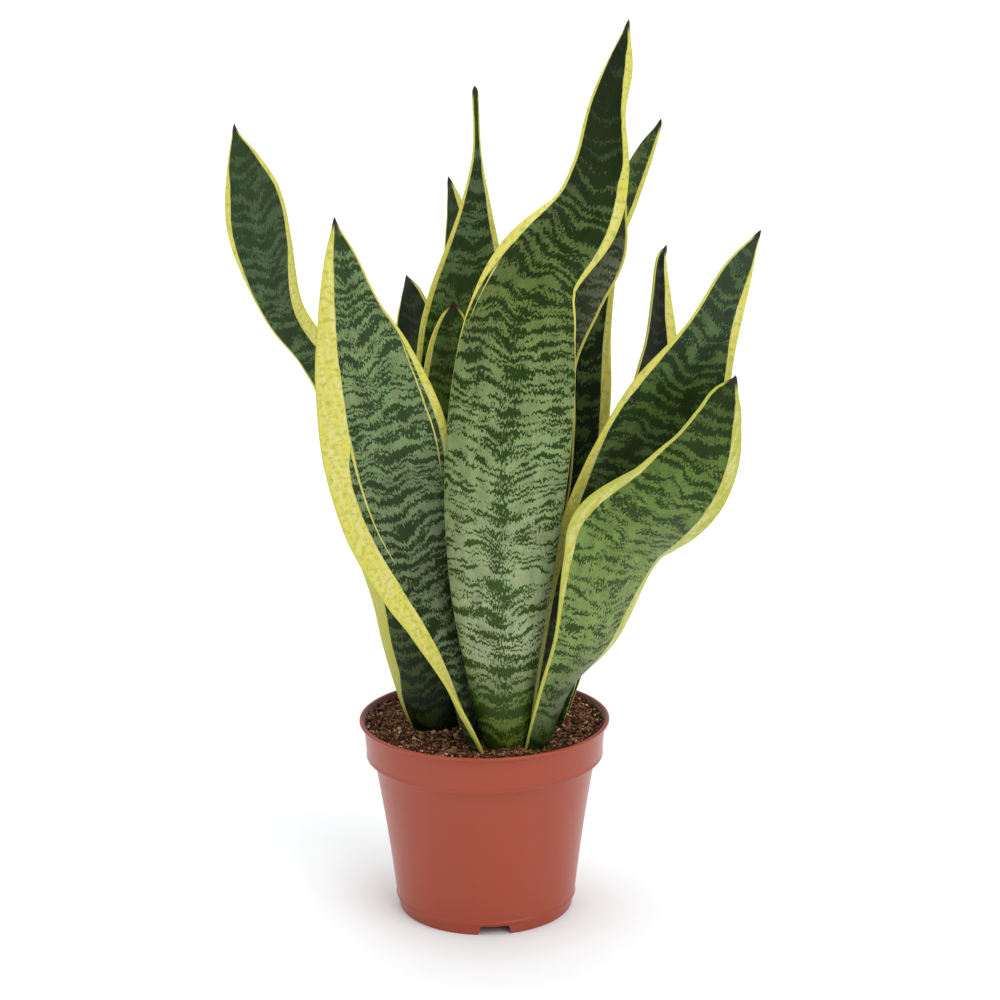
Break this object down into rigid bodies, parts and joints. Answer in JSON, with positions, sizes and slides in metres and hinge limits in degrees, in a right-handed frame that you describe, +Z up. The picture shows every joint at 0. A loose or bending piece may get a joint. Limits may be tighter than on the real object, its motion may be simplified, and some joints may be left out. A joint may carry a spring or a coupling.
{
  "type": "potted snake plant",
  "caption": "Snake plant with upright, banded, yellow-edged sword leaves, rooted in a soil-filled round plastic nursery pot.",
  "frame": {"origin": "on the pot's axis, in the plane that the foot ring stands on, which is also the middle of the bounding box's bottom", "axes": "+Z up, along the height of the plant; -Y towards the front that the picture shows; +X to the viewer's right"},
  "size_m": [0.2449, 0.1207, 0.4221],
  "materials": {
    "pot_plastic": "satin",
    "potting_mix": "matte",
    "rhizome": "matte",
    "leaf": "satin"
  },
  "bodies": {
    "root": {"pot": "pot_plastic", "soil": "potting_mix", "rhizome": "rhizome", "leaf_front": "leaf", "leaf_front_left": "leaf", "leaf_front_right": "leaf", "leaf_right": "leaf", "leaf_left": "leaf", "leaf_back_left": "leaf", "leaf_back_far": "leaf", "leaf_back_small": "leaf", "leaf_middle_left": "leaf", "leaf_back_tall": "leaf", "leaf_folded": "leaf", "leaf_back_right": "leaf"}
  },
  "joints": []
}
